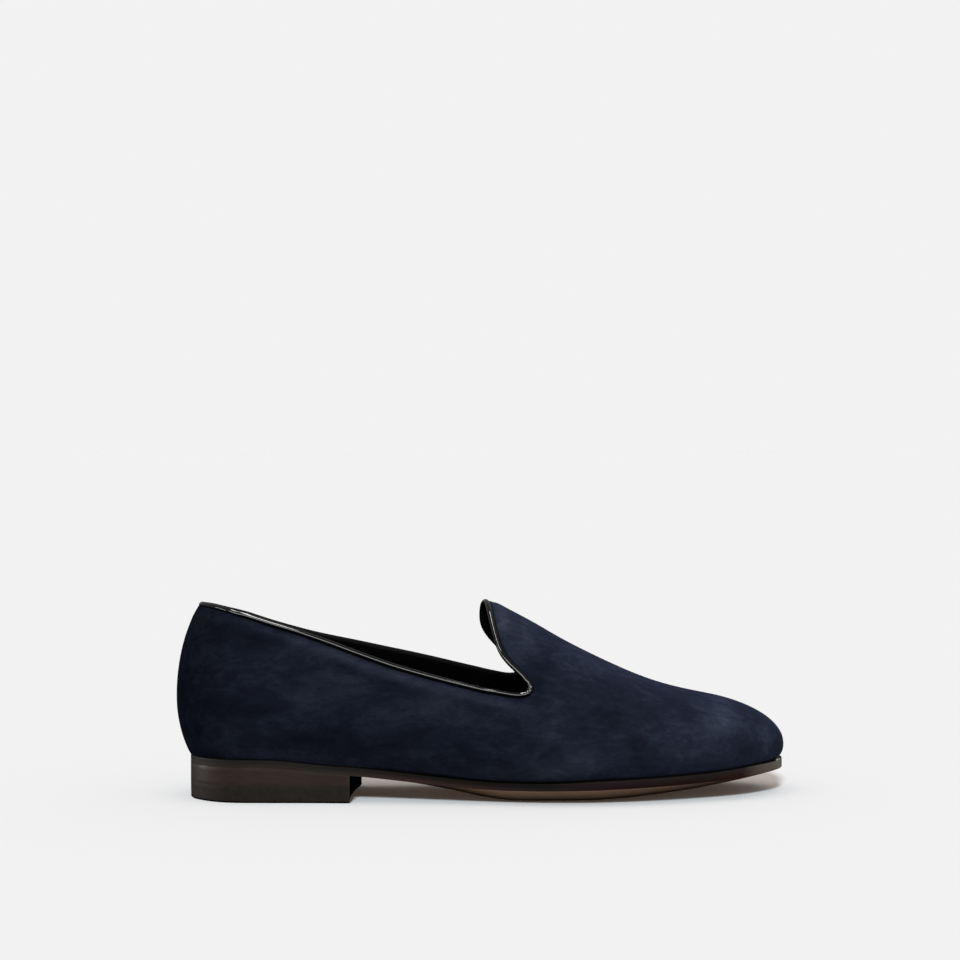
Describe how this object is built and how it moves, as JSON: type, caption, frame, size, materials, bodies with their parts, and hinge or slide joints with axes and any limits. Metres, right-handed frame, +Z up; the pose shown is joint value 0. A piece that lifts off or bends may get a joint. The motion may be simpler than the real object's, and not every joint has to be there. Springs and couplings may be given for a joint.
{
  "type": "suede slip-on shoe",
  "caption": "Low-heeled suede slip-on dress shoe for the right foot: plain whole upper on a rounded last, bound topline, leather outsole with arch and toe spring, low stacked heel.",
  "frame": {"origin": "on the floor, under the middle of the shoe's box", "axes": "+X from heel to toe, +Y towards the inner side of the foot, +Z up"},
  "size_m": [0.2933, 0.0976, 0.0941],
  "materials": {
    "navy_suede": "brushed suede with a short soft nap",
    "binding_leather": "smooth black leather, satin",
    "lining_leather": "fine-grained black lining leather",
    "sole_leather": "dyed and waxed sole leather, satin",
    "heel_leather": "sanded and waxed stacked leather",
    "heel_rubber": "matt dark brown rubber"
  },
  "bodies": {
    "root": {"upper": "navy_suede", "topline_binding": "binding_leather", "insole": "lining_leather", "outsole": "sole_leather", "heel_stack": "heel_leather", "top_lift": "heel_rubber"}
  },
  "joints": []
}
